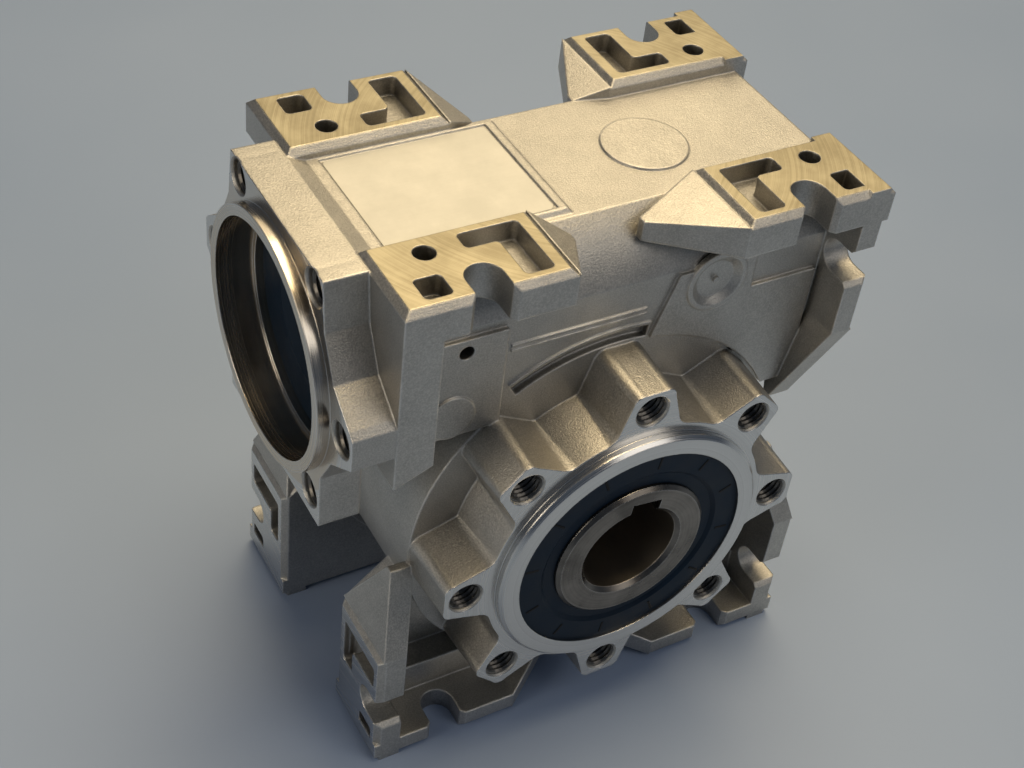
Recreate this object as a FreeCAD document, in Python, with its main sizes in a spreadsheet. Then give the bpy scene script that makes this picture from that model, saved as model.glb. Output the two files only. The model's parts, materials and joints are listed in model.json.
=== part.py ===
import FreeCAD, Part
import math
import os
import re

import Sketcher

# Worm gear reducer with a 50 mm centre distance and a ratio of 15.
# The output shaft lies along Y through the origin. The worm lies along X above it.
# Lengths are in millimetres, with +Z up and the open motor side at -X.

# Driving sizes
SIZES = {
    # gearing
    "centre_distance": 50,
    "gear_module": 2.5,
    "worm_starts": 2,
    "wheel_teeth": 30,
    "pressure_angle": 20,
    "worm_pitch_diameter": 25,
    "thread_turns": 3,
    "flank_gap": 0.3,
    "root_depth": 1.25,
    "thread_sink": 0.2,
    "wheel_width": 22,
    # clearances
    "seat_gap": 0.02,
    "running_gap": 0.06,
    "cover_gap": 0.3,
    "ball_gap": 0.08,
    "cage_gap": 0.35,
    "cut_past": 1,
    # gear chamber and worm tunnel of the case
    "chamber_radius": 44,
    "chamber_front": 22,
    "drum_radius": 49.3,
    "drum_front": 30,
    "tunnel_radius": 21,
    "barrel_half_width": 30,
    "barrel_top": 80,
    "barrel_top_half": 19.6,
    "barrel_shoulder": 66.1,
    "barrel_waist": 38,
    "barrel_bottom": 18,
    "barrel_keel": 14,
    "barrel_end": 57,
    # feet
    "top_height": 84,
    "base_height": 60,
    "foot_reach": 60,
    "foot_inner": 21,
    "foot_near": 17.5,
    "foot_far": 40.6,
    "foot_bevel": 1.6,
    "top_foot_thickness": 9,
    "base_foot_thickness": 6.2,
    "side_foot_thickness": 6.8,
    "upper_foot_end": 43.3,
    "lower_foot_end": 22,
    "slot_width": 8.5,
    "slot_reach": 40,
    "slot_half_pitch": 35,
    "slot_flare": 1.2,
    "upper_slot_height": 62.4,
    "lower_slot_depth": 42,
    "deep_pocket": 5,
    "shallow_pocket": 3,
    "pocket_near": 20.8,
    "pocket_far": 37.6,
    "pocket_round": 1.2,
    "arm_width": 5,
    "arm_start": 14.8,
    "arm_end": 0.5,
    "leg_width": 6.8,
    "square_start": 8,
    "square_width": 6.3,
    "square_near": 31,
    "pin_hole_diameter": 5,
    "pin_hole_depth": 12,
    "pin_hole_reach": 48,
    "pin_hole_half_pitch": 24,
    # ribs between the feet and the drum
    "web_thickness": 3.5,
    "web_drum_reach": 45,
    "web_drum_side": 10,
    "foot_root_depth": 28,
    "foot_root_height": 9,
    "gusset_step": 1,
    "gusset_tip": 29,
    "gusset_tip_width": 2,
    "top_gusset_reach": 18,
    "left_gusset_reach": 7,
    "top_gusset_tip": 27,
    "rear_gusset_reach": 9,
    "rear_gusset_tip": 21.5,
    "base_gusset_reach": 14,
    "lower_gusset_reach": 20,
    "upper_gusset_reach": 26,
    "gusset_tip_outside": 54,
    "gusset_tip_inside": 48,
    # output side
    "spigot_face": 49,
    "spigot_length": 2.6,
    "spigot_diameter": 70,
    "flange_step": 2,
    "ring_swell": 1.3,
    "lobe_edge": 5.5,
    "lobe_tip_width": 9.6,
    "lobe_root_width": 16.4,
    "lobe_round": 2.2,
    "lobe_fillet": 4,
    "lobe_draft": 3,
    "output_bolts": 8,
    "output_bolt_circle": 85,
    "thread_diameter": 8,
    "thread_depth": 14,
    "thread_bevel": 0.5,
    # input side
    "input_face": 70,
    "input_spigot_length": 3,
    "input_spigot_diameter": 60,
    "input_mouth_diameter": 54.6,
    "input_mouth_depth": 9,
    "input_flange_thickness": 10,
    "input_bolt_circle": 70,
    "input_bolt_angle": 35,
    "flange_top": 33,
    "flange_bottom": 35,
    "flange_top_half": 24.2,
    "flange_bottom_half": 25.5,
    "flange_shoulder": 21,
    "flange_shoulder_half": 25.7,
    "flange_notch": 20.2,
    "ear_reach": 40.4,
    "ear_high": 5.5,
    "ear_low": 4.2,
    "ear_bevel": 1.6,
    "ear_root": 30.8,
    "ear_root_high": 11.2,
    "ear_root_low": 10.8,
    "saddle_end": 55.5,
    # side cover
    "cover_seat": 24,
    "cover_thickness": 6,
    "cover_radius": 52.4,
    "cover_spigot_length": 4,
    "cover_screw_circle": 96,
    "screw_diameter": 5,
    "screw_length": 14,
    "screw_head_diameter": 8.5,
    "screw_head_height": 5,
    "screw_socket": 4,
    "screw_socket_depth": 2.5,
    "o_ring_section": 1.7,
    "o_ring_inset": 1.8,
    "rear_rim_depth": 12,
    # output shaft, bearings and seals
    "shaft_diameter": 40,
    "shaft_proud": 0.1,
    "output_bore": 25,
    "output_key_width": 8,
    "output_key_height": 3.3,
    "key_lean": 6.7,
    "shaft_bevel": 0.9,
    "bore_bevel": 1.1,
    "shoulder_diameter": 47,
    "hub_diameter": 58,
    "output_bearing_outside": 68,
    "output_bearing_width": 15,
    "output_ball": 7.9,
    "output_balls": 12,
    "output_seal_outside": 60,
    "output_seal_width": 8.6,
    "output_seal_recess": 0.8,
    "lip_band": 3,
    "lip_slope": 1,
    "lip_depth": 0.7,
    # share of the ball that the race lands cover, and the cage round the balls
    "race_land": 0.24,
    "cage_side": 1.4,
    "cage_window_gap": 0.18,
    # worm, bearings and seal
    "worm_bore": 14,
    "worm_bore_depth": 30,
    "worm_key_width": 5,
    "worm_key_height": 2.3,
    "worm_end": 60,
    "input_journal": 25,
    "input_bearing_outside": 52,
    "input_bearing_width": 15,
    "input_bearing_seat": 37.8,
    "input_ball": 7.9,
    "input_balls": 9,
    "input_seal_width": 7,
    "rear_journal": 20,
    "rear_bearing_outside": 47,
    "rear_bearing_width": 14,
    "rear_bearing_seat": 33,
    "rear_ball": 7.9,
    "rear_balls": 8,
    "worm_neck_diameter": 24,
    "worm_collar_rise": 3,
    "worm_collar_length": 4,
    "input_lip_depth": 1.5,
    "ring_thickness": 2,
    "ring_band": 3.6,
    "ring_groove": 0.9,
    "ring_gap_angle": 24,
    "cap_thickness": 6,
    "cap_wall": 2,
    # marks on the front and top walls
    "panel_left": 46.6,
    "panel_right": 30,
    "panel_low": 37,
    "panel_high": 64,
    "panel_height": 1.2,
    "panel_hole_diameter": 3.6,
    "panel_hole_left": 39.9,
    "panel_hole_height": 60.5,
    "blank_disc_radius": 5.8,
    "blank_disc_left": 42.4,
    "blank_disc_height": 43,
    "blank_disc_rise": 0.6,
    "corner_rib_right": 51,
    "corner_rib_low": 36.5,
    "corner_rib_slope": 4,
    "dish_right": 23.2,
    "dish_height": 61.2,
    "dish_radius": 8,
    "dish_rise": 1.5,
    "dish_rim": 1.2,
    "dish_slope": 55,
    "dish_depth": 1.4,
    "dish_dot_radius": 0.8,
    "groove_lip": 0.6,
    "groove_width": 3.6,
    "groove_depth": 1.8,
    "groove_left": 31,
    "groove_right": 8,
    "bead_width": 0.9,
    "bead_rise": 0.5,
    "line_left": 28.5,
    "line_right": 5.8,
    "line_height": 58.4,
    "line_pitch": 1.4,
    "line_width": 0.6,
    "line_rise": 0.5,
    "side_panel_height": 1,
    "side_wall_depth": 12,
    "side_panel_left": 7.6,
    "side_panel_ridge": 12.9,
    "side_panel_right": 52,
    "side_panel_low": 23.5,
    "side_panel_high": 56.5,
    "side_panel_step": 33.6,
    "side_panel_top": 65.5,
    "top_disc_right": 18.6,
    "top_disc_front": 1.9,
    "top_disc_radius": 10.2,
    "top_disc_rise": 0.6,
    "label_block_rise": 1,
    "label_block_right": 9.6,
    "label_block_half": 18.5,
    "label_left": 53,
    "label_right": 12.4,
    "label_half": 16.8,
    "label_depth": 0.5,
}

# Sizes that follow from the driving ones
RESULTS = {
    "flange_plane": "spigot_face - spigot_length",
    "shaft_half_length": "spigot_face + shaft_proud",
    "ring_radius": "spigot_diameter/2 + flange_step",
    "lobe_reach": "output_bolt_circle/2 + lobe_edge",
    "lobe_lean": "atan((lobe_root_width - lobe_tip_width)/2/(lobe_reach - ring_radius))",
    "lobe_offset": "lobe_tip_width/2*cos(lobe_lean) + lobe_reach*sin(lobe_lean)",
    "lobe_rise": "sqrt((ring_radius + lobe_fillet)^2 - (lobe_offset + lobe_fillet)^2)",
    "groove_inner": "drum_radius + groove_lip",
    "groove_outer": "groove_inner + groove_width",
    "worm_root": "worm_pitch_diameter/2 - root_depth*gear_module",
}

PLANES = {"x": "YZ_Plane", "y": "XZ_Plane", "z": "XY_Plane"}
UP = FreeCAD.Vector(0, 0, 1)
OTHER_TURN = {"left": "right", "right": "left"}

doc = FreeCAD.newDocument("WormGearReducer")
sheet = doc.addObject("Spreadsheet::Sheet", "Sizes")
cells = list(SIZES.items()) + [(alias, "=" + text) for alias, text in RESULTS.items()]
for row, (alias, content) in enumerate(cells, start=1):
    sheet.set(f"A{row}", alias)
    sheet.setAlias(f"B{row}", alias)
    sheet.set(f"B{row}", str(content))
doc.recompute()


# Formulas on the sheet

def formula(text):
    """Write a formula of size names as an expression on the sheet."""
    names = {**SIZES, **RESULTS}
    return re.sub(r"[a-z_]+", lambda word: f"Sizes.{word[0]}" if word[0] in names else word[0], str(text))


def number(text):
    """The present value of a formula."""
    return float(sheet.evalExpression(formula(text)))


def bind(thing, **formulas):
    """Bind properties of an object to formulas of the sheet's sizes."""
    for name, text in formulas.items():
        thing.setExpression(name, formula(text))


def place(thing, x="0", y="0", z="0"):
    """Bind an object's position to the sheet."""
    for axis, text in zip("xyz", (x, y, z)):
        thing.setExpression(f"Placement.Base.{axis}", formula(text))


# Sketches

def new_body(label):
    body = doc.addObject("PartDesign::Body", label)
    body.Label = label
    body.AllowCompound = True
    return body


def origin_feature(body, role):
    return next(feature for feature in body.Origin.OriginFeatures if feature.Role == role)


def new_sketch(body, name, axis, at="0"):
    """A sketch square to one axis of the body, at a place along that axis."""
    sketch = body.newObject("Sketcher::SketchObject", name)
    sketch.AttachmentSupport = (origin_feature(body, PLANES[axis]), [""])
    sketch.MapMode = "FlatFace"
    sign = "-" if axis == "y" else ""
    sketch.setExpression("AttachmentOffset.Base.z", formula(f"{sign}({at})"))
    return sketch


def pinned(curve, point, spot):
    """Rules that hold one point of a curve at a spot given by two formulas."""
    return [(Sketcher.Constraint(kind, -1, 1, curve, point, number(text)), text)
            for kind, text in zip(("DistanceX", "DistanceY"), spot)]


def vector(spot):
    return FreeCAD.Vector(number(spot[0]), number(spot[1]), 0)


def add_arc(sketch, start, end, centre, turn):
    """An arc round a centre, turning left or right from its start to its end, and the rule for its centre."""
    middle = vector(centre)
    first, last = (start, end) if turn == "left" else (end, start)
    angles = [math.atan2(spot.y - middle.y, spot.x - middle.x) for spot in (first, last)]
    circle_curve = Part.Circle(middle, UP, (start - middle).Length)
    curve = sketch.addGeometry(Part.ArcOfCircle(circle_curve, *angles))
    chord = end - start
    across = abs(chord.x) >= abs(chord.y)
    kind, text = ("DistanceY", centre[1]) if across else ("DistanceX", centre[0])
    rule = (Sketcher.Constraint(kind, -1, 1, curve, 3, number(text)), text)
    ends = (curve, 1, 2) if turn == "left" else (curve, 2, 1)
    return ends, rule


def add_outline(sketch, corners):
    """A closed outline. A corner is two formulas, and may add the centre and turn of the arc after it."""
    spots = [vector(corner) for corner in corners]
    stretches, rules = [], []
    for index, corner in enumerate(corners):
        start, end = spots[index], spots[(index + 1) % len(spots)]
        if len(corner) == 2:
            stretches.append((sketch.addGeometry(Part.LineSegment(start, end)), 1, 2))
        else:
            ends, rule = add_arc(sketch, start, end, *corner[2:])
            stretches.append(ends)
            rules.append(rule)
    for index, (curve, head, tail) in enumerate(stretches):
        following = stretches[(index + 1) % len(stretches)]
        rules.append((Sketcher.Constraint("Coincident", curve, tail, following[0], following[1]), None))
        rules += pinned(curve, head, corners[index])
    return rules


def add_circle(sketch, circle):
    curve = sketch.addGeometry(Part.Circle(vector(circle["centre"]), UP, number(circle["radius"])))
    size = Sketcher.Constraint("Radius", curve, number(circle["radius"]))
    return pinned(curve, 3, circle["centre"]) + [(size, circle["radius"])]


def draw(sketch, *outlines):
    """Draw outlines and circles on a sketch, and hold them with formulas."""
    rules = []
    for outline in outlines:
        rules += add_circle(sketch, outline) if isinstance(outline, dict) else add_outline(sketch, outline)
    sketch.addConstraint([rule for rule, text in rules])
    for index, (rule, text) in enumerate(rules):
        if text is not None:
            sketch.setExpression(f"Constraints[{index}]", formula(text))


def circle(u, v, radius):
    return {"centre": (u, v), "radius": radius}


def rectangle(u_low, u_high, v_low, v_high):
    return [(u_low, v_low), (u_high, v_low), (u_high, v_high), (u_low, v_high)]


def in_order(first, second):
    """Two places along an axis, the lower one first."""
    return (first, second) if number(first) < number(second) else (second, first)


def sign(value):
    return (value > 1e-6) - (value < -1e-6)


def rounded(corners, radius):
    """A square-cornered outline with each corner turned into a quarter arc."""
    spots = [vector(corner) for corner in corners]
    soft = []
    for index, (u, v) in enumerate(corners):
        before = spots[index] - spots[index - 1]
        after = spots[(index + 1) % len(spots)] - spots[index]
        come, go = [(sign(way.x), sign(way.y)) for way in (before, after)]
        turn = "left" if come[0]*go[1] > come[1]*go[0] else "right"
        centre = (f"{u} + ({go[0] - come[0]})*{radius}", f"{v} + ({go[1] - come[1]})*{radius}")
        soft.append((f"{u} + ({-come[0]})*{radius}", f"{v} + ({-come[1]})*{radius}", centre, turn))
        soft.append((f"{u} + ({go[0]})*{radius}", f"{v} + ({go[1]})*{radius}"))
    return soft


def swapped(corner):
    """A corner with its two directions changed over."""
    u, v, *arc = corner
    if not arc:
        return (v, u)
    centre, turn = arc
    return (v, u, centre[::-1], OTHER_TURN[turn])


# Features

def pad(body, name, axis, low, high, *outlines):
    """Outlines raised along an axis from low to high."""
    sketch = new_sketch(body, name + "_sketch", axis, high if axis == "y" else low)
    draw(sketch, *outlines)
    feature = body.newObject("PartDesign::Pad", name)
    feature.Profile = sketch
    bind(feature, Length=f"({high}) - ({low})")
    return feature


def flared(body, name, axis, start, end, taper, *outlines):
    """Outlines raised from start to end, either way along the axis, that widen by an angle."""
    sketch = new_sketch(body, name + "_sketch", axis, start)
    draw(sketch, *outlines)
    feature = body.newObject("PartDesign::Pad", name)
    feature.Profile = sketch
    bind(feature, Length=f"abs(({end}) - ({start}))", TaperAngle=taper)
    feature.Reversed = (number(end) < number(start)) != (axis == "y")
    return feature


def pocket(body, name, axis, low, high, *outlines, taper="0"):
    """Outlines cut along an axis between low and high, narrower with depth by the taper angle."""
    sketch = new_sketch(body, name + "_sketch", axis, low if axis == "y" else high)
    draw(sketch, *outlines)
    feature = body.newObject("PartDesign::Pocket", name)
    feature.Profile = sketch
    bind(feature, Length=f"({high}) - ({low})", TaperAngle=f"-({taper})")
    return feature


def turned(body, name, axis, corners, kind="PartDesign::Revolution"):
    """A profile of places along the axis and radii, turned round the X or Y axis."""
    if axis == "y":
        sketch = new_sketch(body, name + "_sketch", "z")
        draw(sketch, [swapped(corner) for corner in corners])
        axis_name = "V_Axis"
    else:
        sketch = new_sketch(body, name + "_sketch", "y")
        draw(sketch, corners)
        axis_name = "H_Axis"
    feature = body.newObject(kind, name)
    feature.Profile = sketch
    feature.ReferenceAxis = (sketch, [axis_name])
    feature.Angle = 360
    return feature


def ring_of(body, name, features, axis, count):
    """Features repeated evenly round an axis of the body."""
    pattern = body.newObject("PartDesign::PolarPattern", name)
    pattern.Originals = features
    pattern.Axis = (origin_feature(body, axis.upper() + "_Axis"), [""])
    pattern.Angle = 360
    bind(pattern, Occurrences=count)
    body.Tip = pattern
    return pattern


def gusset(body, name, axis, low, high, low_end, high_end):
    """A tapered rib along X or Z. An end is its span across Y and its span in the third direction."""
    wedge = body.newObject("PartDesign::AdditiveWedge", name)
    turn = -120 if axis == "x" else 120
    wedge.Placement = FreeCAD.Placement(FreeCAD.Vector(), FreeCAD.Rotation(FreeCAD.Vector(1, 1, 1), turn))
    bind(wedge, Ymin=low, Ymax=high)
    for prefix, (across, third) in (("", low_end), ("2", high_end)):
        spans = (third, across) if axis == "x" else (across, third)
        for letter, span in zip("XZ", spans):
            bind(wedge, **{f"{letter}{prefix}min": span[0], f"{letter}{prefix}max": span[1]})
    return wedge


def joined(label, bodies, core):
    """One casting: bodies fused together, with a core taken out of them."""
    solid = doc.addObject("Part::MultiFuse", label + "_solid")
    solid.Shapes = bodies
    casting = doc.addObject("Part::Cut", label)
    casting.Base = solid
    casting.Tool = core
    casting.Label = label
    return casting


# Feet

def foot_rectangles(spans, along):
    """The plan of the feet on one face, on both sides of the worm."""
    outlines = []
    for inner, slot, outer in spans:
        for near, far in (("foot_near", "foot_far"), ("-foot_far", "-foot_near")):
            plan = rectangle(inner, outer, near, far)
            outlines.append(plan if along == "x" else [(v, u) for u, v in plan])
    return outlines


def on_side(corners, side, along):
    """Corners given along the foot and outward, turned to the chosen side and face."""
    placed = []
    for u, v, *arc in corners:
        corner = (u, f"{side}*({v})")
        if arc:
            (centre_u, centre_v), turn = arc
            corner += ((centre_u, f"{side}*({centre_v})"), turn if side > 0 else OTHER_TURN[turn])
        placed.append(corner if along == "x" else swapped(corner))
    return placed


def slot_outline(slot):
    """A slot open to the side of the case, round inside and flared at its mouth."""
    half, wide = "slot_width/2", "slot_width/2 + slot_flare"
    return [
        (f"{slot} + {half}", "slot_half_pitch", (slot, "slot_half_pitch"), "right"),
        (f"{slot} - {half}", "slot_half_pitch"),
        (f"{slot} - {half}", "foot_far - slot_flare"),
        (f"{slot} - ({wide})", "foot_far"),
        (f"{slot} - ({wide})", "foot_far + slot_flare"),
        (f"{slot} + {wide}", "foot_far + slot_flare"),
        (f"{slot} + {wide}", "foot_far"),
        (f"{slot} + {half}", "foot_far - slot_flare"),
    ]


def elbow_outline(slot, way):
    """The bent lightening pocket on the inner half of a foot."""
    start, end = f"{slot} - {way}*arm_start", f"{slot} - {way}*arm_end"
    leg = f"{slot} - {way}*(arm_start - leg_width)"
    return rounded([
        (start, "pocket_near"),
        (end, "pocket_near"),
        (end, "pocket_near + arm_width"),
        (leg, "pocket_near + arm_width"),
        (leg, "pocket_far"),
        (start, "pocket_far"),
    ], "pocket_round")


def square_outline(slot, way):
    """The square lightening pocket on the outer half of a foot."""
    start = f"{slot} + {way}*square_start"
    end = f"{slot} + {way}*(square_start + square_width)"
    return rounded(rectangle(start, end, "square_near", "pocket_far"), "pocket_round")


def build_feet(name, axis, way, face, thickness, depth, spans):
    """Machined feet on one face of the case, with their slots and lightening pockets."""
    body = new_body(name + "_feet")
    along = "x" if axis == "z" else "z"
    plans = foot_rectangles(spans, along)
    outside, inside = f"{way}*{face}", f"{way}*({face} - {thickness})"
    edge, floor = f"{way}*({face} - foot_bevel)", f"{way}*({face} - {depth})"
    pad(body, "plates", axis, *in_order(inside, edge), *plans)
    flared(body, "faces", axis, edge, outside, "-45", *plans)
    slots = []
    for inner, slot, outer in spans:
        outward = 1 if number(outer) > number(inner) else -1
        for side in (-1, 1):
            slots.append(on_side(slot_outline(slot), side, along))
            elbow = on_side(elbow_outline(slot, outward), side, along)
            square = on_side(square_outline(slot, outward), side, along)
            pocket(body, "pockets", axis, *in_order(floor, outside), elbow, square)
    pocket(body, "slots", axis, *in_order(inside, outside), *slots)
    return body


FLAT_SPANS = [
    ("foot_inner", "slot_reach", "foot_reach"),
    ("-foot_inner", "-slot_reach", "-foot_reach"),
]
UPPER_SPAN = ("upper_foot_end", "upper_slot_height", "top_height")
LOWER_SPAN = ("-lower_foot_end", "-lower_slot_depth", "-base_height")


def add_webs(body):
    """Upright webs and floor blocks that tie the lower feet to the drum."""
    webs, roots = [], []
    for way in (-1, 1):
        webs.append([
            (f"{way}*(foot_reach - foot_bevel)", "foot_bevel - base_height"),
            (f"{way}*foot_inner", "foot_bevel - base_height"),
            (f"{way}*web_drum_side", "-web_drum_reach"),
            (f"{way}*web_drum_reach", "-web_drum_side"),
            (f"{way}*(foot_reach - foot_bevel)", "-lower_foot_end"),
        ])
        for side in (-1, 1):
            roots.append(rectangle(f"{way}*foot_inner", f"{way}*(foot_reach - foot_bevel)",
                                   f"{side}*foot_near", f"{side}*foot_root_depth"))
    pad(body, "front_webs", "y", "-foot_near - web_thickness", "-foot_near", *webs)
    pad(body, "rear_webs", "y", "foot_near", "foot_near + web_thickness", *webs)
    floor = "base_foot_thickness - base_height"
    pad(body, "foot_roots", "z", floor, f"{floor} + foot_root_height", *roots)


def add_top_gussets(body):
    """Tapered ribs that run from the inner ends of the top feet to the barrel."""
    thick = ("top_height - top_foot_thickness", "top_height - gusset_step")
    thin = ("top_height - top_foot_thickness", "barrel_top")
    front = (-1, "top_gusset_tip", "top_gusset_reach")
    rear = (1, "rear_gusset_tip", "rear_gusset_reach")
    for side, outer, reach in (front, rear):
        wide = in_order(f"{side}*foot_near", f"{side}*foot_far")
        tip = in_order(f"{side}*{outer}", f"{side}*({outer} - gusset_tip_width)")
        gusset(body, "right_gusset", "x", f"foot_inner - {reach}", "foot_inner",
               (tip, thin), (wide, thick))
        gusset(body, "left_gusset", "x", "-foot_inner", "left_gusset_reach - foot_inner",
               (wide, thick), (tip, thin))


def add_gussets(body, axis, way, face, thickness, ends):
    """Tapered ribs that run from the ends of the other feet to the drum and the barrel."""
    thick = in_order(f"{way}*({face} - {thickness})", f"{way}*({face} - gusset_step)")
    thin = in_order(f"{way}*gusset_tip_inside", f"{way}*gusset_tip_outside")
    for side in (-1, 1):
        wide = in_order(f"{side}*foot_near", f"{side}*foot_far")
        tip = in_order(f"{side}*gusset_tip", f"{side}*(gusset_tip + gusset_tip_width)")
        for end, reach in ends:
            if number(end) > number(reach):
                gusset(body, "gusset", axis, reach, end, (tip, thin), (wide, thick))
            else:
                gusset(body, "gusset", axis, end, reach, (wide, thick), (tip, thin))


# Output flanges, alike on the case and on its cover

def lobe_outline():
    """One lobe: round-cornered tip, leaning flanks and hollow roots that run into the ring."""
    def spot(offset):
        return (f"({offset})*cos(lobe_lean) - lobe_rise*sin(lobe_lean)",
                f"({offset})*sin(lobe_lean) + lobe_rise*cos(lobe_lean)")

    hollow = spot("lobe_offset + lobe_fillet")
    root = tuple(f"({place})*ring_radius/(ring_radius + lobe_fillet)" for place in hollow)
    tip_half, corner = "lobe_tip_width/2", "lobe_reach - lobe_round"
    tip_centre = (f"{tip_half} - lobe_round", corner)
    inside = "ring_radius - thread_diameter"
    left = [(f"-({u})", v) for u, v in (root, spot("lobe_offset"), (tip_half, corner), tip_centre)]
    return [
        ("-lobe_root_width/2", inside),
        ("lobe_root_width/2", inside),
        (*root, hollow, "right"),
        spot("lobe_offset"),
        (f"{tip_half} + lobe_round*tan(lobe_lean)", corner, tip_centre, "left"),
        (f"{tip_half} - lobe_round", "lobe_reach"),
        (f"lobe_round - {tip_half}", "lobe_reach", left[3], "left"),
        (f"-{tip_half} - lobe_round*tan(lobe_lean)", corner),
        (*left[1], (f"-({hollow[0]})", hollow[1]), "right"),
        left[0],
    ]


def add_output_flange(body, side):
    """The sloped ring, spigot and eight threaded lobes of one output side."""
    way = "-" if side < 0 else ""
    turned(body, "flange_ring", "y", [
        (f"{way}drum_front", "output_seal_outside/2 - seat_gap"),
        (f"{way}drum_front", "ring_radius + ring_swell"),
        (f"{way}flange_plane", "ring_radius"),
        (f"{way}flange_plane", "spigot_diameter/2"),
        (f"{way}(spigot_face - shaft_bevel)", "spigot_diameter/2"),
        (f"{way}spigot_face", "spigot_diameter/2 - shaft_bevel"),
        (f"{way}spigot_face", "output_seal_outside/2 - seat_gap"),
    ])
    lobe = flared(body, "lobe", "y", f"{way}flange_plane", f"{way}drum_front", "lobe_draft", lobe_outline())
    ring_of(body, "lobes", [lobe], "y", "output_bolts")


def add_output_core(core, side, inner):
    """Room for the bearing, the seal and the threaded holes of one output side."""
    shoulder = f"{side}*(cover_seat + output_bearing_width)"
    outside = f"{side}*(spigot_face + cut_past)"
    pad(core, "bearing_seat", "y", *in_order(inner, shoulder),
        circle("0", "0", "output_bearing_outside/2 + seat_gap"))
    pad(core, "seal_seat", "y", *in_order(shoulder, outside),
        circle("0", "0", "output_seal_outside/2 + seat_gap"))
    hole = pad(core, "thread_hole", "y",
               *in_order(f"{side}*(flange_plane - thread_depth)", f"{side}*(flange_plane + cut_past)"),
               circle("0", "output_bolt_circle/2", "thread_diameter/2"))
    mouth = flared(core, "thread_mouth", "y",
                   f"{side}*(flange_plane - thread_bevel)", f"{side}*flange_plane", "45",
                   circle("0", "output_bolt_circle/2", "thread_diameter/2"))
    ring_of(core, "thread_holes", [hole, mouth], "y", "output_bolts")


def cover_screw_spot():
    """Place of the first cover screw, half way between two lobes."""
    return ("cover_screw_circle/2*sin(180/output_bolts)", "cover_screw_circle/2*cos(180/output_bolts)")


# Case

def barrel_outline():
    """Section of the worm tunnel: flat top, round shoulders, upright walls and a tapered underside."""
    squares = "barrel_top^2 + barrel_top_half^2 - barrel_shoulder^2 - barrel_half_width^2"
    centre = ("0", f"({squares})/2/(barrel_top - barrel_shoulder)")
    return [
        ("-barrel_keel", "barrel_bottom"),
        ("barrel_keel", "barrel_bottom"),
        ("barrel_half_width", "barrel_waist"),
        ("barrel_half_width", "barrel_shoulder", centre, "left"),
        ("barrel_top_half", "barrel_top"),
        ("-barrel_top_half", "barrel_top", centre, "left"),
        ("-barrel_half_width", "barrel_shoulder"),
        ("-barrel_half_width", "barrel_waist"),
    ]


def input_flange_outline():
    """Motor flange: four corners and two side ears round the worm axis."""
    right = [
        ("flange_bottom_half", "-flange_bottom"),
        ("flange_bottom_half", "-flange_notch"),
        ("ear_root", "-ear_root_low"),
        ("ear_reach", "-ear_low"),
        ("ear_reach", "ear_high - ear_bevel"),
        ("ear_reach - ear_bevel", "ear_high"),
        ("ear_root", "ear_root_high"),
        ("flange_shoulder_half", "flange_shoulder"),
        ("flange_top_half", "flange_top"),
    ]
    left = [(f"-({y})", z) for y, z in reversed(right)]
    return [(y, f"centre_distance + {z}") for y, z in right + left]


def input_holes():
    """Two rows of two threaded holes above and below the worm axis, and one in each ear."""
    holes = []
    for side in (-1, 1):
        for row in (-1, 1):
            across = f"{side}*input_bolt_circle/2*sin(input_bolt_angle)"
            height = f"centre_distance + {row}*input_bolt_circle/2*cos(input_bolt_angle)"
            holes.append(circle(across, height, "thread_diameter/2"))
        holes.append(circle(f"{side}*input_bolt_circle/2", "centre_distance", "thread_diameter/2"))
    return holes


def on_worm_axis(radius):
    return circle("0", "centre_distance", radius)


def groove_arc(inner, outer):
    """A band between two radii above the drum, from the left panel to the right one."""
    def spot(radius, angle):
        return (f"({radius})*sin({angle})", f"({radius})*cos({angle})")

    centre = ("0", "0")
    return [
        (*spot(outer, "-groove_left"), centre, "right"),
        spot(outer, "groove_right"),
        (*spot(inner, "groove_right"), centre, "left"),
        spot(inner, "-groove_left"),
    ]


def side_panel_outline():
    """The raised right part of the front wall, round the drum and past the dished boss."""
    edge = "drum_radius + groove_lip"
    return [
        ("side_panel_left", f"sqrt(({edge})^2 - side_panel_left^2)", ("0", "0"), "right"),
        (f"sqrt(({edge})^2 - side_panel_low^2)", "side_panel_low"),
        ("side_panel_right", "side_panel_low"),
        ("side_panel_right", "side_panel_high"),
        ("side_panel_step", "side_panel_high"),
        ("side_panel_step", "side_panel_top"),
        ("side_panel_ridge", "side_panel_top"),
    ]


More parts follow.
